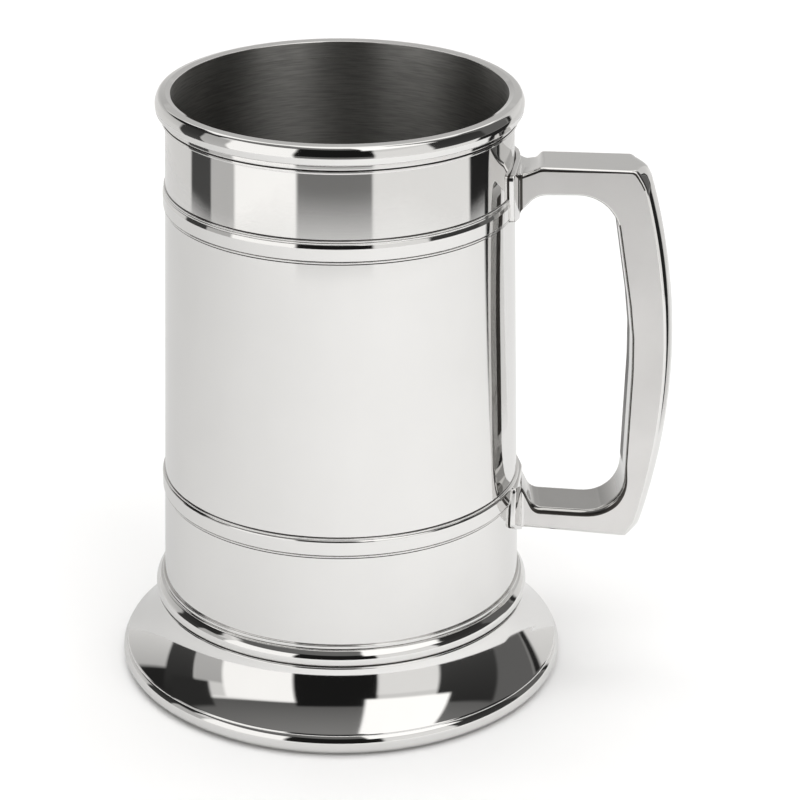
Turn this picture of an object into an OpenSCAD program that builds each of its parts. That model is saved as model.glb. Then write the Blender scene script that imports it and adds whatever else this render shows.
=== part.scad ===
// Footed pewter tankard: a tapered spun barrel with two applied bands, a moulded rim,
// a flared foot on a round bead, and a square-shouldered cast handle that is soldered
// to the wall through two bent plates.
// Frame: +Z up, origin at the middle of the foot's resting face, handle towards +X.

/* [Barrel] */
// Outer radius of the barrel at the top of the foot collar
barrel_low_r = 42.5; // [41:0.5:44]
// Outer radius of the barrel at the bottom of the rim moulding
barrel_high_r = 39.5; // [38:0.5:41]
// Thickness of the spun barrel wall
wall = 1.3; // [1:0.1:1.8]
// Height of the inside of the floor above the table
floor_z = 21; // [20:0.5:26]
// Thickness of the floor disc
floor_t = 1.6; // [1.2:0.1:2.2]

/* [Rim] */
// Height of the lip above the table
rim_z = 142.7; // [141:0.1:146]
// Height at which the rim moulding begins on the barrel
rim_foot_z = 135.9; // [135:0.1:136.5]
// Outer radius of the rounded lip
lip_r = 41.7; // [41.5:0.1:42.5]

/* [Bands] */
// Height of the middle of the upper band
upper_band_z = 118; // [110:0.5:120]
// Height of the middle of the lower band
lower_band_z = 47.8; // [44:0.2:60]
// Height of the upper band's face, without its edge beads
upper_band_face = 3.2; // [2.6:0.1:4]
// Height of the lower band's face, without its edge beads
lower_band_face = 2.8; // [2.4:0.1:4]
// How far the band faces stand proud of the barrel
band_proud = 0.5; // [0.4:0.1:0.8]

/* [Foot] */
// Height of the top of the foot collar
collar_z = 23.5; // [23:0.5:25]
// Height of the joint between the collar and the flared skirt
skirt_z = 18.4; // [17.8:0.1:19]
// Outer radius of the skirt at that joint
skirt_top_r = 44.3; // [44.1:0.1:44.5]
// Thickness of the skirt
skirt_t = 1.4; // [1:0.1:1.8]
// Outer radius of the whole foot
foot_r = 53.05; // [52:0.05:54]
// Radius of the bead's round section
bead_r = 3; // [2.8:0.05:3.1]
// Width of the flat turned on the underside of the bead
rest_w = 1.8; // [1:0.1:2.4]

/* [Handle] */
// Width of the handle across its flat faces
handle_w = 13.1; // [11:0.1:15]
// Height of the handle's level top at its barrel end
handle_top_z = 125.8; // [124:0.1:127]
// Height of the underside of the handle at its outer corner
handle_low_z = 32.6; // [31:0.1:34]
// Furthest reach of the handle from the barrel's axis
handle_reach = 77.7; // [75:0.1:80]
// Radius of the gentle bow of the handle's outer side
bow_r = 154; // [120:1:200]
// Radius of the crown across the handle's outer side
crown_r = 10.6; // [10:0.1:30]
// Thickness of the plates between the handle and the barrel
plate_t = 1.3; // [1:0.1:1.6]
// Width of each plate along its top edge
plate_w = 26.4; // [25:0.2:28]
// Height of each plate at its middle
plate_h = 13.5; // [13.2:0.1:14]

/* [Hidden] */

lathe_fn = 180;        // facets of a full turn
arc_steps = 8;         // straight steps in one rounded corner

lip_z = 138.2;         // top end of the barrel, where the lip ring sits on it
edge_bead = 0.9;       // height of the fine beads along a band's edges
edge_groove = 0.35;    // height of the grooves beside a band's face
bead_z = sqrt(bead_r * bead_r - rest_w * rest_w / 4);
bead_c = foot_r - bead_r;

taper = (barrel_high_r - barrel_low_r) / (rim_foot_z - collar_z);

plate_upper_z = 127.6; // top of the upper plate
plate_lower_z = 49;    // top of the lower plate
bow_z = 78.1;          // height at which the handle reaches furthest out

pewter_bright = [0.80, 0.80, 0.79];
pewter_inside = [0.42, 0.41, 0.40];
pewter_satin = [0.72, 0.71, 0.69];

// Outer radius of the barrel at height z.
function barrel_r(z) = barrel_low_r + taper * (z - collar_z);

// Points along a circular arc in the profile plane.
function arc(c, r, a0, a1, n = arc_steps) =
    [for (i = [0 : n]) let (a = a0 + (a1 - a0) * i / n) c + r * [cos(a), sin(a)]];

// Points along the skirt's hollow flare, part of a quarter of an ellipse: it ends just
// inside the bead.
function flare(shift, n = 16) =
    let (out_r = bead_c + 2, low_z = bead_z + 2.15, turn = 32,
         a = (out_r - skirt_top_r) / (1 - cos(turn)),
         b = (skirt_z - low_z) / sin(turn))
    [for (i = [0 : n]) let (t = turn * i / n)
        shift + [skirt_top_r + a * (1 - cos(t)), skirt_z - b * sin(t)]];

function unit(v) = v / norm(v);

// One corner of an outline, rounded to radius r between its two neighbours.
function rounded(before, p, after, r) =
    r == 0 ? [p] :
    let (u = unit(before - p), v = unit(after - p),
         half = acos(u * v) / 2,
         c = p + unit(u + v) * r / sin(half),
         from = p + u * r / tan(half) - c,
         to = p + v * r / tan(half) - c,
         a0 = atan2(from[1], from[0]),
         swing = atan2(from[0] * to[1] - from[1] * to[0], from * to))
    arc(c, r, a0, a0 + swing);

// Outline through corners [x, z, radius], each rounded to its own radius.
function outline(corners) =
    let (n = len(corners), p = [for (c = corners) [c[0], c[1]]])
    [for (i = [0 : n - 1])
        each rounded(p[(i + n - 1) % n], p[i], p[(i + 1) % n], corners[i][2])];

// The handle's outer side at height z: a shallow bow.
function bow_x(z) = handle_reach - bow_r + sqrt(bow_r * bow_r - (z - bow_z) * (z - bow_z));

// A ring turned from a profile of [radius, height] points.
module turned(profile) {
    rotate_extrude($fn = lathe_fn) polygon(profile);
}

// The solid cone of the barrel's outside, grown by a plate's thickness.
module barrel_cone(z0, z1, grow) {
    translate([0, 0, z0])
        cylinder(h = z1 - z0, r1 = barrel_r(z0) + grow, r2 = barrel_r(z1) + grow, $fn = lathe_fn);
}

// Spun wall, open at both ends; the floor and the rim close it.
module barrel() {
    color(pewter_bright)
        turned([[barrel_r(skirt_z) - wall, skirt_z], [barrel_r(skirt_z), skirt_z],
                [barrel_r(lip_z), lip_z], [barrel_r(lip_z) - wall, lip_z]]);
}

// Flat disc soldered inside the wall, level with the foot collar.
module floor_disc() {
    low = floor_z - floor_t;
    color(pewter_inside)
        turned([[0, low], [barrel_r(low) - wall, low],
                [barrel_r(floor_z) - wall, floor_z], [0, floor_z]]);
}

// Cast lip: a top that falls gently outwards, a rounded nose and a flat underside.
module rim_lip() {
    inner_r = barrel_r(lip_z) - wall;
    color(pewter_bright)
        turned(outline([[inner_r, lip_z, 0], [inner_r, rim_z - 0.4, 0.25],
                        [inner_r + 1.2, rim_z, 0.5], [lip_r - 0.75, rim_z - 0.35, 1.2],
                        [lip_r + 0.1, rim_z - 2.2, 3], [lip_r - 0.15, lip_z + 0.35, 0.4],
                        [lip_r - 0.7, lip_z, 0.15], [barrel_r(lip_z), lip_z, 0]]));
}

// Fine bead, groove and fillet that finish the rim against the wall.
module rim_fillet() {
    r_top = barrel_r(lip_z);
    r_low = barrel_r(rim_foot_z);
    groove_z = lip_z - 1.25;
    color(pewter_bright)
        turned(outline([[r_top, lip_z, 0], [r_top + 0.9, lip_z, 0.3],
                        [r_top + 0.9, groove_z + 0.1, 0.3], [r_low + 0.35, groove_z, 0],
                        [r_low + 0.8, groove_z - 0.4, 0.1],
                        [r_low + 0.8, rim_foot_z + 0.15, 0.15], [r_low, rim_foot_z, 0]]));
}

// Outer side of an applied band, from its lower edge up: a flat face between two grooves,
// with a fine bead along each edge. Its first and last points lie on the barrel.
function band_side(mid_z, face_h) =
    let (face0 = mid_z - face_h / 2,
         face1 = mid_z + face_h / 2,
         low = face0 - edge_groove - edge_bead,
         high = face1 + edge_groove + edge_bead,
         step = band_proud * 0.6,
         root = band_proud * 0.2)
    [[barrel_r(low), low],
     [barrel_r(low) + step, low + 0.15],
     [barrel_r(low) + step, face0 - edge_groove],
     [barrel_r(face0) + root, face0 - edge_groove + 0.05],
     [barrel_r(face0) + root, face0 - 0.05],
     [barrel_r(face0) + band_proud, face0 + 0.1],
     [barrel_r(face1) + band_proud, face1 - 0.1],
     [barrel_r(face1) + root, face1 + 0.05],
     [barrel_r(face1) + root, face1 + edge_groove - 0.05],
     [barrel_r(high) + step, face1 + edge_groove],
     [barrel_r(high) + step, high - 0.15],
     [barrel_r(high), high]];

module band(mid_z, face_h) {
    turned(band_side(mid_z, face_h));
}

module upper_band() {
    color(pewter_bright) band(upper_band_z, upper_band_face);
}

module lower_band() {
    color(pewter_bright) band(lower_band_z, lower_band_face);
}

// Collar that covers the joint of barrel and foot: a fine bead over a broad swell.
module foot_collar() {
    r = barrel_r(collar_z);
    z = collar_z;
    color(pewter_bright)
        turned(outline([[r, z, 0], [r + 0.55, z, 0.25], [r + 0.55, z - 0.85, 0.2],
                        [r + 0.35, z - 0.9, 0], [r + 0.95, z - 1, 0.4],
                        [r + 2.1, z - 2.5, 3], [r + 2.1, z - 4.2, 2],
                        [skirt_top_r - 0.1, skirt_z + 0.3, 0], [skirt_top_r, skirt_z, 0],
                        [barrel_r(skirt_z), skirt_z, 0]]));
}

// Section of the foot bead: a round, cut by the flat that it rests on.
function bead_section() =
    let (flat_a = asin(rest_w / 2 / bead_r))
    arc([bead_c, bead_z], bead_r, flat_a - 90, 270 - flat_a, 40);

// Solid round bead that the foot stands on, turned flat underneath.
module foot_bead() {
    color(pewter_bright)
        turned(bead_section());
}

// Hollow flared skirt from the collar down to the bead.
module foot_skirt() {
    inside = flare([-skirt_t, -skirt_t / 2]);
    last = len(inside) - 1;
    color(pewter_bright)
        difference() {
            turned(concat([[skirt_top_r - skirt_t, skirt_z]], flare([0, 0]),
                          [for (i = [last : -1 : 0]) inside[i]]));
            turned(bead_section());
        }
}

// Side outline of the handle: its outer corners, then the corners round the finger gap.
function handle_outline() =
    let (root = 38,
         side = [for (z = [118 : -10 : 38]) [bow_x(z), z, 0]],
         top_drop = 0.8)
    outline(concat(
        [[root, 127, 0], [43.2, 124.1, 5], [45.3, 124.4, 0.5],
         [46.4, handle_top_z, 0.8], [bow_x(handle_top_z) + 0.3, handle_top_z - top_drop, 3.6]],
        side,
        [[bow_x(handle_low_z), handle_low_z, 3.5], [root, 36.05, 0], [root, 49.2, 0],
         [41.9, 49.2, 0], [45.6, 40.8, 9], [66.9, 39.2, 8.5], [68, 84, 90], [62.4, 119.2, 12],
         [44.8, 119.3, 12], [root, 111.3, 0]]));

// The disc that trims the handle's outer side to the bow, crowned across its width.
module crown_disc() {
    half = handle_w / 2;
    swing = asin(half / crown_r);
    translate([handle_reach - bow_r, 0, bow_z])
        rotate([90, 0, 0])
            turned(concat([[0, -half]], arc([bow_r - crown_r, 0], crown_r, -swing, swing), [[0, half]]));
}

// Cast loop handle, flat in front and behind, crowned outside; its two roots are shaped to the plates.
module handle() {
    color(pewter_satin)
        difference() {
            intersection() {
                translate([0, handle_w / 2, 0])
                    rotate([90, 0, 0])
                        linear_extrude(height = handle_w)
                            polygon(handle_outline());
                crown_disc();
            }
            barrel_cone(25, 134, plate_t);
        }
}

// Outline of a plate, seen along the handle: a low arch on top, sides that may spread
// downwards, and a foot as wide as the handle, below the lower corners.
module shield(top_z, arch, spread, corner_rise) {
    low_z = top_z - plate_h;
    top_half = plate_w / 2;
    low_half = top_half + spread;
    foot_half = handle_w / 2 + 1;
    polygon(outline([[0, top_z, 30],
                     [top_half, top_z - arch, 1.2], [low_half, low_z + corner_rise, 1.5],
                     [foot_half, low_z, 2], [-foot_half, low_z, 2],
                     [-low_half, low_z + corner_rise, 1.5], [-top_half, top_z - arch, 1.2]]));
}

// A plate bent round the barrel, cut away where it crosses a band.
module plate(top_z, arch, spread, corner_rise, band_z, face_h) {
    reach = 60;
    z0 = top_z - plate_h - 2;
    z1 = top_z + 2;
    color(pewter_bright)
        difference() {
            intersection() {
                rotate([90, 0, 90])
                    linear_extrude(height = reach)
                        shield(top_z, arch, spread, corner_rise);
                barrel_cone(z0 + 1, z1 - 1, plate_t);
            }
            turned(concat([[0, z0], [barrel_r(z0), z0]], band_side(band_z, face_h),
                          [[barrel_r(z1), z1], [0, z1]]));
        }
}

module upper_plate() {
    plate(top_z = plate_upper_z, arch = 1.5, spread = 0, corner_rise = 1,
          band_z = upper_band_z, face_h = upper_band_face);
}

module lower_plate() {
    plate(top_z = plate_lower_z, arch = 0.2, spread = 1.6, corner_rise = 3.9,
          band_z = lower_band_z, face_h = lower_band_face);
}

barrel();
floor_disc();
rim_lip();
rim_fillet();
upper_band();
lower_band();
foot_collar();
foot_skirt();
foot_bead();
handle();
upper_plate();
lower_plate();
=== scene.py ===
"""Looks of the footed pewter tankard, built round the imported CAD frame.

A smoother mesh of the same dimensions replaces each CAD node. The tankard stands on z = 0 with
its axis upright at the origin; its handle points along x, and the camera looks along y. Lengths
are in millimetres, except those of the studio and the noise, which are in metres.
"""

import math

import bmesh
import bpy
from mathutils import Matrix, Vector


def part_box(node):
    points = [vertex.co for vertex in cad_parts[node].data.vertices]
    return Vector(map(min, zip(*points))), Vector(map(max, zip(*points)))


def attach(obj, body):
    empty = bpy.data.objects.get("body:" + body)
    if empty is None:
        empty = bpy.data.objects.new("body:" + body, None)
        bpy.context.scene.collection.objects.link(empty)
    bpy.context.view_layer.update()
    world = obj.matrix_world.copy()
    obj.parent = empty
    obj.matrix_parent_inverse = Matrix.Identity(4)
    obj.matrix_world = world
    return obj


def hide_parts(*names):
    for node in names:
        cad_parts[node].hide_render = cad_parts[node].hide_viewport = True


MM = 0.001

# --- dimensions of the tankard, as in the CAD model --------------------------------------
BARREL_LOW_R = 42.5    # outer radius of the barrel at the collar's top
BARREL_HIGH_R = 39.5   # and at the foot of the rim fillet
WALL = 1.3             # thickness of the barrel
COLLAR_Z = 23.5        # top of the foot collar
RIM_FOOT_Z = 135.9     # foot of the rim fillet
LIP_Z = 138.2          # top of the barrel, where the lip sits on it
FLOOR_T = 1.6          # thickness of the cup's floor
LIP_R = 41.7           # outer radius of the lip
SKIRT_Z = 18.4         # top of the skirt, and foot of the barrel
SKIRT_TOP_R = 44.3     # outer radius of the skirt's top
SKIRT_T = 1.4          # thickness of the skirt
BEAD_R = 3.0           # radius of the foot bead's section
REST_W = 1.8           # width of the flat ground on the bead
HANDLE_W = 13.1        # width of the handle, front to back
HANDLE_TOP_Z = 125.8   # top of the handle's neck
HANDLE_LOW_Z = 32.6    # height of the handle's lower outer corner
HANDLE_REACH = 77.7    # how far the handle reaches from the axis
BOW_R = 154.0          # radius of the bow of the handle's outer side
BOW_Z = 78.1           # height at which the handle reaches furthest
CROWN_R = 10.6         # radius of the outer side's crown, front to back
PLATE_T = 1.3          # thickness of a plate
PLATE_W = 26.4         # width of a plate
PLATE_H = 13.5         # height of a plate

# --- details that only the looks have ----------------------------------------------------
SINK = 0.1             # how far the foot of an applied ring or plate goes into the metal under it
GROOVE_W = 0.32        # width of the groove above and below a band, which is painted dark as shade
GROOVE_RISE = 0.06     # how far a groove's floor stands out from the barrel
RIDGE_EASE = 0.16      # largest radius of the edges of a band's ridges
BEVEL_SLOPE = 0.34     # how far a band's bevel goes in for each mm that it rises
PLATE_EASE = 0.25      # radius of a plate's outer edge
ARRIS = 1.2            # radius of the handle's outer edges
INNER_EDGE = 0.5       # radius of the handle's inner edges
INNER_SOFTER = 1.1     # what that radius gains round the handle's lower bend
LOW_BEND_Z = 52        # height below which the inner edges start to soften
ROOT_REACH = 46.0      # distance from the axis at which the handle starts to bend to a plate
ROOT_FILLET = 0.7      # radius of the blend where the handle meets a plate

# --- fineness of the meshes --------------------------------------------------------------
LATHE_STEPS = 256      # facets of a full turn
ARC_STEP = 7.5         # degrees turned by one step of a rounded corner
FLARE_STEPS = 40       # steps down the skirt
EDGE_STEPS = 10        # steps round each edge of the handle
ROOT_STEPS = 6         # loops in the blend at a root of the handle
PLATE_RINGS = 12       # rings from a plate's edge to its middle
HOLD = 0.15            # distance from a corner at which a support loop keeps a flat face flat
TINY = 0.0005          # lengths closer than this are the same

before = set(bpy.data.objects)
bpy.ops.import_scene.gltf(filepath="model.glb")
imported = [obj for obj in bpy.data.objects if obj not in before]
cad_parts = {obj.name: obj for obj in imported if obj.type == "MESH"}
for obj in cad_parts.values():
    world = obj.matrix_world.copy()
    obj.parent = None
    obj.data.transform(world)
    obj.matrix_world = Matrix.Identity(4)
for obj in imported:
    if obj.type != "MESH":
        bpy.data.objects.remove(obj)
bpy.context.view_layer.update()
foot_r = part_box("foot_bead")[1].x / MM
rim_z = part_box("rim_lip")[1].z / MM
floor_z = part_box("floor_disc")[1].z / MM
bead_z = math.sqrt(BEAD_R ** 2 - REST_W ** 2 / 4)   # height of the middle of the bead's section


# --- plane geometry ----------------------------------------------------------------------
def barrel_r(z):
    """Outer radius of the barrel at height z."""
    return BARREL_LOW_R + (BARREL_HIGH_R - BARREL_LOW_R) * (z - COLLAR_Z) / (RIM_FOOT_Z - COLLAR_Z)


def bow_x(z):
    """The handle's outer side at height z."""
    return HANDLE_REACH - BOW_R + math.sqrt(BOW_R ** 2 - (z - BOW_Z) ** 2)


def arc(cx, cz, r, start, end, steps=None):
    """Points along a circular arc, angles in degrees."""
    steps = steps or max(2, math.ceil(abs(end - start) / ARC_STEP))
    angles = [math.radians(start + (end - start) * i / steps) for i in range(steps + 1)]
    return [Vector((cx + r * math.cos(a), cz + r * math.sin(a))) for a in angles]


def rounded_corner(before, p, after, r, steps=None):
    """Corner p of an outline, rounded to radius r."""
    if r <= 0:
        return [p]
    u = (before - p).normalized()
    v = (after - p).normalized()
    half = u.angle(v) / 2
    reach = min(r / math.tan(half), 0.49 * (before - p).length, 0.49 * (after - p).length)
    r = reach * math.tan(half)
    centre = p + (u + v).normalized() * r / math.sin(half)
    a = p + u * reach - centre
    b = p + v * reach - centre
    start = math.degrees(math.atan2(a.y, a.x))
    swing = math.degrees(math.atan2(a.x * b.y - a.y * b.x, a.dot(b)))
    return arc(centre.x, centre.y, r, start, start + swing, steps)


def outline(corners, closed=True, steps=None):
    """Points through corners (x, z, radius), each rounded to its own radius.

    An open outline starts and ends sharply.
    """
    points = [Vector(c[:2]) for c in corners]
    n = len(points)
    result = []
    for i, corner in enumerate(corners):
        end = not closed and i in (0, n - 1)
        r = 0 if end else corner[2]
        result += rounded_corner(points[i - 1], points[i], points[(i + 1) % n], r, steps)
    return result


def is_long(p, q):
    """Whether a stretch is too long to be a step of a rounded corner."""
    return (q - p).length > 4 * HOLD


def hold_edges(points, is_flat=is_long):
    """Adds support points near both ends of each flat stretch of a closed outline."""
    result = []
    for i, p in enumerate(points):
        q = points[(i + 1) % len(points)]
        result.append(p)
        length = (q - p).length
        if is_flat(p, q):
            step = (q - p) * (HOLD / length)
            result += [p + step, q - step]
    return result


# --- meshes ------------------------------------------------------------------------------
def add_object(name, data):
    """A new object in the scene."""
    made = bpy.data.objects.new(name, data)
    bpy.context.scene.collection.objects.link(made)
    return made


def make_piece(name, verts, faces, node):
    """A smooth mesh, given in mm, that rides on the tankard and stands for a CAD node."""
    mesh = bpy.data.meshes.new(name)
    mesh.from_pydata([tuple(c * MM for c in v) for v in verts], [], faces)
    shell = bmesh.new()
    shell.from_mesh(mesh)
    bmesh.ops.recalc_face_normals(shell, faces=shell.faces)
    shell.to_mesh(mesh)
    shell.free()
    mesh.polygons.foreach_set("use_smooth", [True] * len(mesh.polygons))
    piece = add_object(name, mesh)
    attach(piece, "root")
    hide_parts(node)
    return piece


def strips(loops, n, closed=False):
    """Faces between neighbouring loops of n points; closed also joins the last to the first."""
    faces = []
    for i in range(loops if closed else loops - 1):
        here = i * n
        there = (i + 1) % loops * n
        for j in range(n):
            k = (j + 1) % n
            faces.append((here + j, there + j, there + k, here + k))
    return faces


def lathe(name, points, node):
    """Turns a closed outline of (radius, height) points about the barrel's axis."""
    points = hold_edges(points)
    verts = []
    for i in range(LATHE_STEPS):
        a = 2 * math.pi * i / LATHE_STEPS
        verts += [(p.x * math.cos(a), p.x * math.sin(a), p.y) for p in points]
    return make_piece(name, verts, strips(LATHE_STEPS, len(points), closed=True), node)


# --- turned pieces -----------------------------------------------------------------------
def give_second_material(piece, is_chosen):
    """Gives the second material to the faces that is_chosen(face, radius, height) picks."""
    for face in piece.data.polygons:
        radius = math.hypot(face.center.x, face.center.y) / MM
        if is_chosen(face, radius, face.center.z / MM):
            face.material_index = 1


def line_inside(piece, below):
    """Gives the second material to the faces that look at the axis, up to a height."""

    def looks_in(face, radius, height):
        outward = (face.normal.x * face.center.x + face.normal.y * face.center.y) / (radius * MM)
        return outward < -0.5 and height < below

    give_second_material(piece, looks_in)


def make_barrel():
    """The wall; its inner side takes the second material."""
    r0 = barrel_r(SKIRT_Z)
    r1 = barrel_r(LIP_Z)
    piece = lathe("spun_wall", outline([
        (r0 - WALL, SKIRT_Z, 0.1), (r0, SKIRT_Z, 0.1), (r1, LIP_Z, 0.05), (r1 - WALL, LIP_Z, 0.05)]),
        "barrel")
    line_inside(piece, rim_z)
    return piece


def make_cup_floor():
    """The floor of the drinking space, turned about a hole too small to see."""
    low = floor_z - FLOOR_T
    r0 = barrel_r(low) - WALL
    r1 = barrel_r(floor_z) - WALL
    pin = 0.02
    return lathe("cup_floor", outline([
        (pin, low, 0), (r0, low, 0.05), (r1, floor_z, 0.05), (pin, floor_z, 0)]),
        "floor_disc")


def make_lip():
    """The rolled lip; its inner side takes the second material up to the rounding."""
    inner_r = barrel_r(LIP_Z) - WALL
    piece = lathe("turned_lip", outline([
        (inner_r, LIP_Z, 0), (inner_r, rim_z - 0.4, 0.25), (inner_r + 1.2, rim_z, 0.5),
        (LIP_R - 0.75, rim_z - 0.35, 1.2), (LIP_R + 0.1, rim_z - 2.2, 3),
        (LIP_R - 0.15, LIP_Z + 0.35, 0.4), (LIP_R - 0.7, LIP_Z, 0.15), (barrel_r(LIP_Z), LIP_Z, 0)]),
        "rim_lip")
    line_inside(piece, rim_z - 0.5)
    return piece


def make_rim_fillet():
    """The fillet under the lip; its groove takes the second material, a painted shade."""
    r_top = barrel_r(LIP_Z)
    r_low = barrel_r(RIM_FOOT_Z)
    groove_z = LIP_Z - 1.25
    piece = lathe("rim_fillet_ring", outline([
        (r_top - SINK, LIP_Z, 0), (r_top + 0.9, LIP_Z, 0.3), (r_top + 0.9, groove_z + 0.05, 0.2),
        (r_low + 0.4, groove_z, 0), (r_low + 0.4, groove_z - 0.12, 0), (r_low + 0.8, groove_z - 0.3, 0.08),
        (r_low + 0.8, RIM_FOOT_Z + 0.15, 0.15), (r_low - SINK, RIM_FOOT_Z, 0)]),
        "rim_fillet")

    def in_groove(face, radius, height):
        return groove_z - 0.28 < height < groove_z + 0.02

    give_second_material(piece, in_groove)
    return piece


def make_band(name, node, ridges):
    """An applied band from its ridges (top, bottom, proud, bevel), heights from its middle.

    A ridge stands proud of the barrel; its bevel is the height of a sloping face above it. The
    grooves beside the ridges take the second material, which paints shade in them.
    """
    mid = (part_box(node)[0].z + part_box(node)[1].z) / 2 / MM
    high = mid + ridges[0][0] + GROOVE_W
    low = mid + ridges[-1][1] - GROOVE_W
    draft = 0.02       # a ridge is this much wider at its foot, above and below
    corners = [(barrel_r(high) - SINK, high, 0), (barrel_r(high) + GROOVE_RISE, high, 0)]
    for top, bottom, proud, bevel in ridges:
        r = barrel_r(mid + (top + bottom) / 2)
        ease = min((top - bottom) / 6, RIDGE_EASE)
        corners.append((r + GROOVE_RISE, mid + top + bevel + draft, 0))
        if bevel:
            corners.append((r + proud - bevel * BEVEL_SLOPE, mid + top + bevel, 0))
        corners += [(r + proud, mid + top, ease), (r + proud, mid + bottom, ease),
                    (r + GROOVE_RISE, mid + bottom - draft, 0)]
    corners += [(barrel_r(low) + GROOVE_RISE, low, 0), (barrel_r(low) - SINK, low, 0)]
    piece = lathe(name, outline(corners), node)

    def in_groove(face, radius, height):
        return radius - barrel_r(height) < GROOVE_RISE + 0.14 and abs(face.normal.z) < 0.3

    give_second_material(piece, in_groove)
    return piece


def make_collar():
    """The foot collar; its two fine notches take the second material, a painted shade."""
    r = barrel_r(COLLAR_Z)
    z = COLLAR_Z
    piece = lathe("foot_collar_ring", outline([
        (r - SINK, z, 0), (r + 0.55, z, 0.25), (r + 0.55, z - 0.82, 0.2), (r + 0.25, z - 0.86, 0),
        (r + 0.25, z - 1.0, 0), (r + 0.95, z - 1.04, 0.4), (r + 2.1, z - 2.5, 3), (r + 2.1, z - 4.2, 1.2),
        (SKIRT_TOP_R - 0.1, SKIRT_Z + 0.42, 0), (SKIRT_TOP_R - 0.45, SKIRT_Z + 0.38, 0),
        (SKIRT_TOP_R - 0.45, SKIRT_Z + 0.22, 0), (SKIRT_TOP_R, SKIRT_Z + 0.18, 0),
        (SKIRT_TOP_R, SKIRT_Z, 0), (barrel_r(SKIRT_Z), SKIRT_Z, 0)]),
        "foot_collar")

    def in_notch(face, radius, height):
        upper = z - 1.02 < height < z - 0.84 and r < radius < r + 0.4
        lower = SKIRT_Z + 0.18 < height < SKIRT_Z + 0.4 and r < radius < SKIRT_TOP_R - 0.2
        return upper or lower

    give_second_material(piece, in_notch)
    return piece


def flare(shift_r, shift_z):
    """The skirt's hollow flare, moved by (shift_r, shift_z).

    It is the part of an ellipse's quarter between two angles, stretched to reach from the
    collar to the bead.
    """
    start = math.radians(4)
    end = math.radians(32)
    low_r = foot_r - BEAD_R + 2.1
    low_z = bead_z + 2.4
    a = (low_r - SKIRT_TOP_R) / (math.cos(start) - math.cos(end))
    b = (SKIRT_Z - low_z) / (math.sin(end) - math.sin(start))
    angles = [start + (end - start) * i / FLARE_STEPS for i in range(FLARE_STEPS + 1)]
    return [Vector((shift_r + SKIRT_TOP_R + a * (math.cos(start) - math.cos(t)),
                    shift_z + SKIRT_Z - b * (math.sin(t) - math.sin(start)))) for t in angles]


def make_skirt():
    """The skirt, with a thin upright edge where it lies on the bead."""
    upper_side = flare(0, 0)
    lower_side = flare(-SKIRT_T, -SKIRT_T / 2)
    edge = upper_side[-1] - Vector((0.05, 0.45))
    start = Vector((SKIRT_TOP_R - SKIRT_T, SKIRT_Z))
    return lathe("flared_skirt", [start] + upper_side + [edge] + lower_side[::-1],
                 "foot_skirt")


def make_bead():
    """The round bead that the tankard stands on, ground flat at its lowest."""
    flat = math.degrees(math.asin(REST_W / 2 / BEAD_R))
    return lathe("foot_bead_ring", arc(foot_r - BEAD_R, bead_z, BEAD_R, flat - 90, 270 - flat),
                 "foot_bead")


# --- handle and plates -------------------------------------------------------------------
def on_plate(y, z, grow=0.0):
    """The x of a plate's outer face at (y, z), moved out by grow."""
    return math.sqrt((barrel_r(z) + PLATE_T + grow) ** 2 - y ** 2)


def resample(points, count):
    """count points at even spacing along an open polyline."""
    lengths = [0.0]
    for p, q in zip(points, points[1:]):
        lengths.append(lengths[-1] + (q - p).length)
    result = []
    i = 0
    for k in range(count):
        want = lengths[-1] * k / (count - 1)
        while i < len(points) - 2 and lengths[i + 1] < want:
            i += 1
        span = lengths[i + 1] - lengths[i]
        result.append(points[i].lerp(points[i + 1], (want - lengths[i]) / span))
    return result


def space_out(points, anchors, counts):
    """Points along a polyline, with counts[i] even steps from anchor i to anchor i + 1."""
    where = [min(range(len(points)), key=lambda k: (points[k] - Vector(a)).length) for a in anchors]
    result = []
    for (i, j), count in zip(zip(where, where[1:]), counts):
        part = resample(points[i:j + 1], count + 1)
        result += part if not result else part[1:]
    return result


def handle_sides():
    """Matched points, root to root, along the near and far outer edges and the inner line.

    The near edge of the neck rises straight from the plate; the far edge dips in a saddle. The
    anchors of the three lines pair up, so that each section cuts the handle squarely.
    """
    far_root = (41.8, 124.9)
    near_root = (41.8, 124.3)
    outer_foot = (44.3, 35.38)
    inner_root = (42.1, 116.1)
    inner_foot = (44.1, 44.2)
    bow = [(bow_x(z), z, 0) for z in range(118, 37, -4)]
    shared = [(bow_x(HANDLE_TOP_Z) + 0.3, HANDLE_TOP_Z - 0.8, 3.6), *bow,
              (bow_x(HANDLE_LOW_Z), HANDLE_LOW_Z, 3.5), (*outer_foot, 0)]
    far = outline([(*far_root, 0), (43.2, 124.1, 1.4), (45.3, 124.4, 0.5), (46.4, HANDLE_TOP_Z, 0.8)]
                  + shared, closed=False)
    near = outline([(*near_root, 0), (45.5, 126.0, 1.5)] + shared, closed=False)
    inner = outline([(*inner_root, 0), (44.8, 119.3, 12), (62.4, 119.2, 12), (68, 84, 90),
                     (66.9, 39.2, 8.5), (45.6, 40.8, 9), (*inner_foot, 0)], closed=False)

    outer_anchors = [(47.5, 125.8), (57, 125.3), (70.8, 124.2), (76.6, 98), (77.7, 78), (74.7, 48),
                     (70.8, 33.8), (56, 34.13), (47, 35.1), outer_foot]
    inner_anchors = [inner_root, (46.5, 118.5), (53, 119.2), (61, 115.3), (66.2, 96), (67.8, 80),
                     (67.3, 52), (64.4, 41.6), (56, 40.1), (48.4, 40.7), inner_foot]
    counts = [18, 14, 14, 14, 16, 16, 14, 10, 8, 8]
    fine = 900
    return (space_out(resample(near, fine), [near_root] + outer_anchors, counts),
            space_out(resample(far, fine), [far_root] + outer_anchors, counts),
            space_out(resample(inner, fine), inner_anchors, counts))


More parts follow.
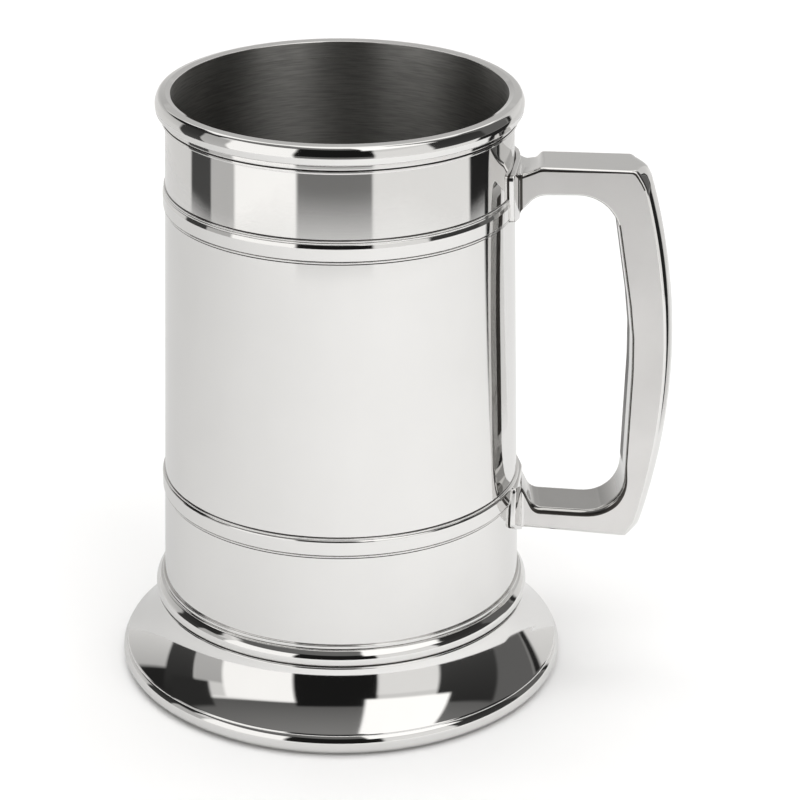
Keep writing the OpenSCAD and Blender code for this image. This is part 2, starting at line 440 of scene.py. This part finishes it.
def section(depth, inner_edge, crown):
    """A section across the handle, as (along, across) from the inner line.

    It starts with the near inner edge and goes out along the near side. Its front, back and
    inner side are flat; its outer side takes a share of the full crown.
    """
    half = HANDLE_W / 2

    def outer(y):
        """How far out the outer side is, at y across."""
        return depth - crown * (CROWN_R - math.sqrt(CROWN_R ** 2 - y ** 2))

    def is_flat(p, q):
        """Whether a stretch lies on the inner side, the front or the back."""
        return p.x + q.x < TINY or abs(p.y + q.y) > HANDLE_W - TINY

    corners = [(0, -half, inner_edge), (outer(half), -half, ARRIS)]
    corners += [(outer(half * share), half * share, 0) for share in (-0.7, -0.47, -0.23, 0, 0.23, 0.47, 0.7)]
    corners += [(outer(half), half, ARRIS), (0, half, inner_edge), (0, 0, 0)]
    return hold_edges(outline(corners, steps=EDGE_STEPS), is_flat)


def clamp(value):
    """The value, kept between 0 and 1."""
    return max(0.0, min(1.0, value))


def handle_loops():
    """The sections of the handle, set in place from root to root.

    Three shares, each from 0 to 1, blend one shape into the next: in_low_bend softens the inner
    edges, on_bow crowns the outer side, and at_plate bends a section to the plate's curve.
    """
    bow_centre = Vector((HANDLE_REACH - BOW_R, BOW_Z))
    half = HANDLE_W / 2
    loops = []
    for near, far, inner in zip(*handle_sides()):
        middle = near.lerp(far, 0.5)
        in_low_bend = clamp((LOW_BEND_Z - inner.y) / 10)
        on_bow = clamp(((middle - bow_centre).length - BOW_R + 3) / 2.5)
        depth = (middle - inner).length
        loop = []
        for a, y in section(depth, INNER_EDGE + INNER_SOFTER * in_low_bend, on_bow):
            p = inner.lerp(near.lerp(far, (y + half) / HANDLE_W), a / depth)
            at_plate = clamp((ROOT_REACH - p.x) / 4)
            bend = barrel_r(p.y) + PLATE_T - on_plate(y, p.y)
            loop.append(Vector((p.x - at_plate * bend, y, p.y)))
        loops.append(loop)
    return loops


def root_loops(loop, neighbour):
    """The loops that carry a root on to its plate, from the plate out.

    They continue the line from a neighbouring loop to the end loop, and spread in a fillet.
    """
    middle = sum(loop, Vector()) / len(loop)
    result = []
    for i in range(ROOT_STEPS, -1, -1):
        u = i / ROOT_STEPS
        spread = ROOT_FILLET * (1 - math.sqrt(1 - u * u))
        lift = ROOT_FILLET * (0.9 - u)
        ring = []
        for j, v in enumerate(loop):
            tangent = loop[(j + 1) % len(loop)] - loop[j - 1]
            out = Vector((0, tangent.z, -tangent.y)).normalized()
            if out.dot(v - middle) < 0:
                out = -out
            slope = (v.z - neighbour[j].z) / (v.x - neighbour[j].x)
            y = v.y + out.y * spread
            z = v.z + slope * (on_plate(v.y, v.z, lift) - v.x) + out.z * spread
            ring.append(Vector((on_plate(y, z, lift), y, z)))
        result.append(ring)
    return result


def finish_handle(piece, n, root_strips):
    """Gives the handle's faces their materials; n faces go round each strip.

    The first material stays on the front and back. The second goes on the outer side and the
    edges. The third, a dark metal, paints shade on the upper root's joint with its plate and along
    the far inner edge and the inner side's far half, and paints dark reflections along the near
    inner edge and the near outer edge of the neck's top. The fourth, a darker pewter, paints shade
    on the inner side. A strip's faces run as the points of section() do: the near inner edge, the
    near side, the near outer edge, and so on round to the inner side's two halves.
    """
    flat = 3           # faces across a flat stretch, with those of its support points
    turn = 4           # faces at an inner edge's end that look more to the side than inwards
    bow_top = 112
    low_bend_top = 50
    neck_foot = 121
    near_side = EDGE_STEPS
    near_outer_edge = near_side + flat
    far_inner_edge = n - 2 * flat - EDGE_STEPS
    for face in piece.data.polygons:
        strip, j = divmod(face.index, n)
        z = face.center.z / MM
        # The third material paints shade on the upper root's joint and on the far inner edge and side, and
        # dark reflections on the near inner and near top edges.
        solder_shade = strip < root_strips and abs(face.normal.y) > 0.5
        near_painted_reflection = z < bow_top and near_side - turn <= j < near_side
        far_painted_shade = low_bend_top < z < bow_top and far_inner_edge <= j < n - flat
        top_painted_reflection = z > neck_foot and near_outer_edge <= j < near_outer_edge + 3
        if solder_shade or near_painted_reflection or far_painted_shade or top_painted_reflection:
            face.material_index = 2
        # The fourth, a darker pewter, paints shade on the rest of the inner side.
        elif j < near_side - turn or j >= far_inner_edge + turn:
            face.material_index = 3
        elif abs(face.normal.y) < 0.985:
            face.material_index = 1


def make_handle():
    """The cast handle, closed at both roots just inside the plates."""
    loops = handle_loops()
    upper_root = root_loops(loops[0], loops[1])
    lower_root = root_loops(loops[-1], loops[-2])
    loops = upper_root + loops + lower_root[::-1]
    n = len(loops[0])
    verts = [v for loop in loops for v in loop]
    last = len(verts) - n
    faces = strips(len(loops), n)
    faces += [tuple(range(n)), tuple(range(last, last + n))[::-1]]
    piece = make_piece("cast_handle", verts, faces, "handle")
    finish_handle(piece, n, len(upper_root) - 1)
    return piece


def shield(top, arch, spread, corner_rise):
    """Outline of a plate seen along the handle, as (across, height).

    Its upper edge rises by arch in the middle; its lower corners spread and rise from the foot.
    """
    low = top - PLATE_H
    half = PLATE_W / 2
    right = [(half, top - arch, 1.2), (half + spread, low + corner_rise, 1.5), (HANDLE_W / 2 + 1, low, 2)]
    left = [(-y, z, r) for y, z, r in right[::-1]]
    return hold_edges(outline([(0, top, 30)] + right + left))


def make_plate(name, node, top, arch, spread, corner_rise):
    """A plate bent round the barrel, with an eased edge and a dark line about its foot that is part solder
    and part painted shade.

    Its surface is a set of rings: up the edge, round its easing, and in to a hub.
    """
    rim = shield(top, arch, spread, corner_rise)
    centre = Vector((0, top - PLATE_H * 0.45))
    # Height of the foot's dark strip, which is solder and painted shade where the plate meets the barrel.
    solder_shade = 0.3
    face_inset = PLATE_EASE + HOLD
    rings = [(0.0, -PLATE_T - SINK), (0.0, -PLATE_T + solder_shade), (0.0, -face_inset)]
    for p in arc(0, 0, PLATE_EASE, 0, 90, 6):
        rings.append((PLATE_EASE - p.x, p.y - PLATE_EASE))
    rings.append((face_inset, 0.0))
    verts = []
    for inset, grow in rings:
        for p in rim:
            q = p + (centre - p).normalized() * inset
            verts.append((on_plate(q.x, q.y, grow), q.x, q.y))
    for i in range(1, PLATE_RINGS):
        for p in rim:
            q = (p + (centre - p).normalized() * face_inset).lerp(centre, i / PLATE_RINGS)
            verts.append((on_plate(q.x, q.y), q.x, q.y))
    n = len(rim)
    hub = len(verts)
    last = hub - n
    verts.append((on_plate(centre.x, centre.y), centre.x, centre.y))
    faces = strips(hub // n, n)
    faces += [(last + j, hub, last + (j + 1) % n) for j in range(n)]
    faces.append(tuple(range(n)))
    piece = make_piece(name, verts, faces, node)
    # That lowest strip takes the second material, a dark line of solder and painted shade.
    for face in piece.data.polygons[:n]:
        face.material_index = 1
    return piece


# --- materials ---------------------------------------------------------------------------
class Graph:
    """A short way to write a material's nodes."""

    def __init__(self, tree):
        self.tree = tree
        tree.nodes.clear()

    def node(self, kind, settings=None, **inputs):
        """A new node; an input's name has _ for a space."""
        made = self.tree.nodes.new(kind)
        for key, value in (settings or {}).items():
            setattr(made, key, value)
        for key, value in inputs.items():
            self.set(made.inputs[key.replace("_", " ")], value)
        return made

    def set(self, socket, value):
        """Links another node's output to a socket, or gives the socket a plain value."""
        if isinstance(value, bpy.types.NodeSocket):
            self.tree.links.new(value, socket)
        else:
            socket.default_value = value

    def math(self, operation, *values, clamped=False):
        """The result of one operation on sockets or plain numbers."""
        made = self.node("ShaderNodeMath", {"operation": operation, "use_clamp": clamped})
        for socket, value in zip(made.inputs, values):
            self.set(socket, value)
        return made.outputs[0]

    def ramp(self, value, low, high, to_low, to_high):
        """A value carried from one range to another, and held at its ends."""
        made = self.node("ShaderNodeMapRange", Value=value, From_Min=low, From_Max=high,
                         To_Min=to_low, To_Max=to_high)
        return made.outputs[0]

    def noise(self, vector, scale, detail, roughness=0.5):
        """Cloudy noise, from 0 to 1."""
        made = self.node("ShaderNodeTexNoise", Vector=vector, Scale=scale, Detail=detail,
                         Roughness=roughness)
        return made.outputs["Fac"]

    def grey(self, level):
        """A grey colour of one level."""
        return self.node("ShaderNodeCombineColor", Red=level, Green=level, Blue=level).outputs[0]

    def place(self):
        """The point on the object, in metres."""
        return self.node("ShaderNodeTexCoord").outputs["Object"]

    def xyz(self, vector):
        """The sockets of a vector's three parts."""
        return self.node("ShaderNodeSeparateXYZ", Vector=vector).outputs


def start_material(name):
    """A new material and its still empty graph."""
    material = bpy.data.materials.new(name)
    material.use_nodes = True
    return material, Graph(material.node_tree)


def turned_coordinates(g, place, around, along):
    """(angle, height, radius) about the barrel's axis, scaled for marks that run round it."""
    xyz = g.xyz(place)
    angle = g.math("ARCTAN2", xyz["Y"], xyz["X"])
    radius = g.math("SQRT", g.math("ADD", g.math("MULTIPLY", xyz["X"], xyz["X"]),
                                   g.math("MULTIPLY", xyz["Y"], xyz["Y"])))
    made = g.node("ShaderNodeCombineXYZ", X=g.math("MULTIPLY", angle, around),
                  Y=g.math("MULTIPLY", xyz["Z"], along), Z=g.math("MULTIPLY", radius, along))
    return made.outputs[0]


# How the fine lines of each finish are drawn: spun and brushed ones by the number of marks in
# a radian and in a metre across, cast ones by the number in a metre along x, y and z.
SPUN_LINES = (3.0, 9000.0)
BRUSHED_LINES = (7.0, 2600.0)
CAST_LINES = (2500.0, 2500.0, 700.0)


def pewter(name, colour, shade, roughness, spread, line_height, grain_height, turned=True, brushed=0.0,
           swell=0.0):
    """Pewter: polishing lines, a little cloudiness in gloss and tone, and fine grain.

    The tone goes down to a share, shade, of the colour, and the roughness varies by its spread.
    The lines of a turned surface run round the axis; a brushed one also spreads its reflections
    across them. Heights are in mm; swell is that of the slow waves left by spinning.
    """
    material, g = start_material(name)
    place = g.place()
    if turned:
        lines_at = turned_coordinates(g, place, *(BRUSHED_LINES if brushed else SPUN_LINES))
    else:
        lines_at = g.node("ShaderNodeMapping", Vector=place, Scale=CAST_LINES).outputs[0]
    lines = g.noise(lines_at, 1.0, 3.0)
    cloud = g.noise(place, 38.0, 5.0, 0.6)
    waves = g.noise(place, 60.0, 0.0)
    grain = g.noise(place, 5200.0, 2.0)

    marks = lines if brushed else cloud
    tone = g.node("ShaderNodeMix", {"data_type": "RGBA"}, Factor=g.ramp(marks, 0.35, 0.7, 0.0, 1.0))
    tone.inputs[6].default_value = (*colour, 1)
    tone.inputs[7].default_value = (*[c * shade for c in colour], 1)
    gloss = g.math("ADD", g.ramp(cloud, 0.3, 0.7, roughness - spread, roughness + spread),
                   g.ramp(lines, 0.3, 0.7, -spread / 2, spread / 2), clamped=True)
    bump = g.node("ShaderNodeBump", Height=lines, Distance=line_height * MM, Strength=1.0)
    for relief, height in ((grain, grain_height), (waves, swell)):
        bump = g.node("ShaderNodeBump", Height=relief, Distance=height * MM, Strength=1.0,
                      Normal=bump.outputs[0])

    shader = g.node("ShaderNodeBsdfPrincipled", Metallic=1.0, Roughness=gloss, Normal=bump.outputs[0])
    g.set(shader.inputs["Base Color"], tone.outputs[2])
    if brushed:
        shader.inputs["Anisotropic"].default_value = brushed
        shader.inputs["Anisotropic Rotation"].default_value = 0.25
        round_axis = g.node("ShaderNodeTangent", {"direction_type": "RADIAL", "axis": "Z"})
        g.set(shader.inputs["Tangent"], round_axis.outputs[0])
    g.node("ShaderNodeOutputMaterial", Surface=shader.outputs[0])
    return material


def assign(piece, *materials):
    """Puts materials on a piece, in the order that its faces count them."""
    for material in materials:
        piece.data.materials.append(material)


# --- studio ------------------------------------------------------------------------------
# Each patch of the studio round the tankard: name, azimuth from and to (from the camera's
# side, positive towards the handle), elevation from and to, brightness at its foot and top.
# A patch covers those before it.
STUDIO = [
    ("room", -181, 181, -91, 91, 0.8, 0.8),
    ("upper_room", -181, 181, 35, 91, 1.3, 1.3),
    ("ceiling", -105, 105, 36, 75, 0.12, 0.3),
    ("back_left_wall", -181, -113, -5, 22, 0.82, 0.5),
    ("back_left_gap", -140, -108, 18, 45, 0.02, 0.02),
    ("back_left_high", -181, -150, 22, 62, 0.58, 0.62),
    ("back_right_high", 150, 181, 22, 62, 0.58, 0.62),
    ("back_right_wall", 127, 155, -5, 30, 0.88, 0.7),
    ("left_gap", -113, -92, -60, 38, 0.12, 0.02),
    ("left_wall", -92, -72, -60, 23, 0.67, 0.5),
    ("left_gap_foot", -108, -82, 23, 42, 0.03, 0.03),
    ("left_softbox", -72, -28, -60, 35, 1.25, 1.25),
    ("camera_gap", -28, 21, -5, 40, 0.012, 0.012),
    ("below_camera", -28, 21, -60, -5, 0.5, 0.14),
    ("right_panel", 21, 103, -60, -5, 0.97, 0.97),
    ("right_panel_top", 21, 58, -5, 27, 0.95, 0.95),
    ("right_dark", 58, 100, -5, 40, 0.06, 0.03),
    ("handle_gap", 93, 127, -60, -5, 0.02, 0.02),
    ("back_right_far", 155, 181, -5, 22, 0.6, 0.6),
    ("brown_wall", 98, 123, -5, 50, 0.14, 0.14),
    ("back_gap", 123, 128, -5, 50, 0.02, 0.02),
    ("top_softbox", 14, 67, 32, 80, 1.4, 1.4),
]
STUDIO_WHITE = (1.0, 0.99, 0.975, 1.0)
SOFTNESS = 1.2         # of a patch's edge, in degrees

# The table that the metal reflects, in metres; its azimuths are as in STUDIO.
TABLE_R = 0.485        # its reach in front
TABLE_SIDE_R = 0.42    # its shorter reach to the sides and behind
TABLE_FRONT = 40       # azimuth at which the reach starts to shorten
TABLE_SIDE = 75        # azimuth at which it is shortest
TABLE_FADE_R = 0.375   # radius at which it starts to fade away
TABLE_BRIGHT_AZIMUTH = 40   # side on which it is painted brightest, as if lit most from there
TABLE_BRIGHT = 0.98    # its painted white on that side
TABLE_DIM = 0.69       # and on the opposite side, painted dimmer as if in shade
GAP_AZIMUTHS = (103, 127)   # beside the handle a dark gap in the studio cuts it short
GAP_R = 0.17           # radius at which the gap starts

# The floor that the camera sees.
FLOOR_R = 12.0
FLOOR_WHITE = 0.985

# The camera, fitted to the photograph.
CAMERA_AT = (0.0, -0.6152, 0.3357)
CAMERA_SENSOR = 36.0
CAMERA_LENS = 128.0
CAMERA_PAN = -1.30     # degrees; negative turns it to the right
CAMERA_DROP = 23.67    # degrees below level
CAMERA_ROLL = 0.34


def soft_between(g, value, low, high):
    """1 where a value in degrees lies between low and high, with soft ends."""
    rise = g.ramp(value, low - SOFTNESS, low + SOFTNESS, 0.0, 1.0)
    fall = g.ramp(value, high - SOFTNESS, high + SOFTNESS, 1.0, 0.0)
    return g.math("MULTIPLY", rise, fall)


def azimuth_of(g, xyz):
    """Degrees round the tankard from the camera's side, positive towards the handle."""
    return g.math("DEGREES", g.math("ARCTAN2", xyz["X"], g.math("MULTIPLY", xyz["Y"], -1.0)))


def make_world():
    """The studio in reflections and light, and plain white behind the tankard."""
    world = bpy.data.worlds.new("studio")
    bpy.context.scene.world = world
    world.use_nodes = True
    g = Graph(world.node_tree)
    xyz = g.xyz(g.node("ShaderNodeTexCoord").outputs["Generated"])
    azimuth = azimuth_of(g, xyz)
    elevation = g.math("DEGREES", g.math("ARCSINE", xyz["Z"]))

    level = 0.0
    for _, az0, az1, el0, el1, foot, top in STUDIO:
        mask = g.math("MULTIPLY", soft_between(g, azimuth, az0, az1), soft_between(g, elevation, el0, el1))
        gap = g.math("SUBTRACT", g.ramp(elevation, el0, el1, foot, top), level)
        level = g.math("ADD", level, g.math("MULTIPLY", mask, gap))
    lit = g.node("ShaderNodeBackground", Color=STUDIO_WHITE, Strength=level)
    plain = g.node("ShaderNodeBackground", Color=(1, 1, 1, 1), Strength=1.0)
    seen = g.node("ShaderNodeLightPath").outputs["Is Camera Ray"]
    mix = g.node("ShaderNodeMixShader", Fac=seen)
    g.set(mix.inputs[1], lit.outputs[0])
    g.set(mix.inputs[2], plain.outputs[0])
    g.node("ShaderNodeOutputWorld", Surface=mix.outputs[0])


def floor_material():
    """The plain white floor that the camera sees, with a faint mottle."""
    material, g = start_material("pale_floor")
    tint = g.ramp(g.noise(g.place(), 9.0, 3.0), 0.3, 0.7, FLOOR_WHITE - 0.01, FLOOR_WHITE + 0.01)
    shader = g.node("ShaderNodeBsdfPrincipled", Base_Color=g.grey(tint), Roughness=0.8)
    g.node("ShaderNodeOutputMaterial", Surface=shader.outputs[0])
    return material


def table_material():
    """The table that the metal reflects: painted lighter on one side and dimmer on the other, as light
    falls, and fading away at its edge.
    """
    material, g = start_material("pale_table")
    place = g.place()
    azimuth = azimuth_of(g, g.xyz(place))
    # The tint is painted lighter towards one side and dimmer on the other, standing for how the light falls.
    lean = g.math("COSINE", g.math("RADIANS", g.math("SUBTRACT", azimuth, TABLE_BRIGHT_AZIMUTH)))
    tint = g.math("ADD", g.ramp(g.noise(place, 9.0, 3.0), 0.3, 0.7, -0.005, 0.005),
                  g.ramp(lean, -1.0, 1.0, TABLE_DIM, TABLE_BRIGHT))
    shader = g.node("ShaderNodeBsdfDiffuse", Color=g.grey(tint))
    radius = g.node("ShaderNodeVectorMath", {"operation": "LENGTH"}, Vector=place).outputs["Value"]
    reach = g.ramp(g.math("ABSOLUTE", azimuth), TABLE_FRONT, TABLE_SIDE, TABLE_R, TABLE_SIDE_R)
    edge = g.ramp(radius, TABLE_FADE_R, reach, 0.0, 1.0)
    gap = g.math("MULTIPLY", soft_between(g, azimuth, *GAP_AZIMUTHS),
                 g.ramp(radius, GAP_R, GAP_R + 0.03, 0.0, 1.0))
    mix = g.node("ShaderNodeMixShader", Fac=g.math("MAXIMUM", edge, gap))
    g.set(mix.inputs[1], shader.outputs[0])
    g.set(mix.inputs[2], g.node("ShaderNodeBsdfTransparent").outputs[0])
    g.node("ShaderNodeOutputMaterial", Surface=mix.outputs[0])
    return material


def make_disc(name, radius, z, material):
    """A flat disc of the studio, with its radius and height in metres."""
    steps = 96
    angles = [2 * math.pi * i / steps for i in range(steps)]
    mesh = bpy.data.meshes.new(name)
    mesh.from_pydata([(radius * math.cos(a), radius * math.sin(a), z) for a in angles], [],
                     [tuple(range(steps))])
    disc = add_object(name, mesh)
    assign(disc, material)
    return disc


def make_stage():
    """The metal reflects the table; the camera sees the floor."""
    table = make_disc("table", TABLE_R, 0.0, table_material())
    table.visible_camera = False
    table.visible_shadow = False
    table.visible_diffuse = False
    floor = make_disc("floor", FLOOR_R, -0.0001, floor_material())
    floor.visible_glossy = False
    floor.visible_diffuse = False


def make_light(name, distance, size, power, lean):
    """A round light above, moved and turned by lean towards the camera; no reflection shows it."""
    data = bpy.data.lights.new(name, "AREA")
    data.shape = "DISK"
    data.size = size
    data.energy = power
    light = add_object(name, data)
    light.location = (0, -distance * math.sin(lean), distance * math.cos(lean))
    light.rotation_euler = (-lean, 0, 0)
    light.visible_glossy = False


def make_camera():
    """The photograph's camera."""
    data = bpy.data.cameras.new("camera")
    data.sensor_width = CAMERA_SENSOR
    data.lens = CAMERA_LENS
    camera = add_object("camera", data)
    camera.location = CAMERA_AT
    pan = Matrix.Rotation(math.radians(CAMERA_PAN), 4, "Z")
    tilt = Matrix.Rotation(math.radians(90 - CAMERA_DROP), 4, "X")
    roll = Matrix.Rotation(math.radians(CAMERA_ROLL), 4, "Z")
    camera.rotation_mode = "QUATERNION"
    camera.rotation_quaternion = (pan @ tilt @ roll).to_quaternion()
    bpy.context.scene.camera = camera


# --- the scene ---------------------------------------------------------------------------
LIGHT_METAL = (0.74, 0.735, 0.725)

bright = pewter("polished_pewter", LIGHT_METAL, shade=0.97, roughness=0.05, spread=0.015,
                line_height=0.0003, grain_height=0.0001, swell=0.04)
inside = pewter("turned_pewter", (0.46, 0.455, 0.44), shade=0.7, roughness=0.46, spread=0.06,
                line_height=0.006, grain_height=0.001, brushed=0.85)
satin = pewter("satin_pewter", (0.70, 0.69, 0.68), shade=0.96, roughness=0.36, spread=0.05,
               line_height=0.003, grain_height=0.004, turned=False)
eased = pewter("buffed_pewter", LIGHT_METAL, shade=0.96, roughness=0.05, spread=0.015,
               line_height=0.0003, grain_height=0.0002, turned=False)
# Darker pewter that paints shade on the handle's inner side.
shaded = pewter("shaded_pewter", (0.48, 0.475, 0.465), shade=0.9, roughness=0.08, spread=0.02,
                line_height=0.0003, grain_height=0.0002, turned=False)
# A dark metal that paints shade in grooves, notches and joints and dark reflections on the handle's edges;
# round the plates' feet it is also solder.
painted_shade_and_solder = pewter("painted_shade_and_solder_metal", (0.07, 0.065, 0.06), shade=0.7, roughness=0.4, spread=0.05,
                line_height=0.003, grain_height=0.003, turned=False)

UPPER_RIDGES = [(2.78, 2.52, 0.3, 0), (2.34, 2.04, 0.3, 0), (1.12, -1.75, 0.5, 0.85), (-2.05, -2.38, 0.3, 0)]
LOWER_RIDGES = [(2.44, 2.16, 0.3, 0), (1.62, -1.65, 0.5, 0.42), (-1.95, -2.26, 0.3, 0)]

assign(make_barrel(), bright, inside)
assign(make_lip(), bright, inside)
assign(make_rim_fillet(), bright, painted_shade_and_solder)
assign(make_band("upper_band_ring", "upper_band", UPPER_RIDGES), bright, painted_shade_and_solder)
assign(make_band("lower_band_ring", "lower_band", LOWER_RIDGES), bright, painted_shade_and_solder)
assign(make_collar(), bright, painted_shade_and_solder)
assign(make_plate("upper_shield", "upper_plate", top=127.6, arch=1.5, spread=0.0, corner_rise=1.0),
       bright, painted_shade_and_solder)
assign(make_plate("lower_shield", "lower_plate", top=49.0, arch=0.2, spread=1.6, corner_rise=3.9),
       bright, painted_shade_and_solder)
assign(make_skirt(), bright)
assign(make_bead(), bright)
assign(make_cup_floor(), inside)
assign(make_handle(), satin, eased, painted_shade_and_solder, shaded)

make_world()
make_stage()
make_light("overhead", distance=2.0, size=3.0, power=32.0, lean=math.radians(10))
make_camera()
bpy.context.scene.view_settings.view_transform = "Standard"
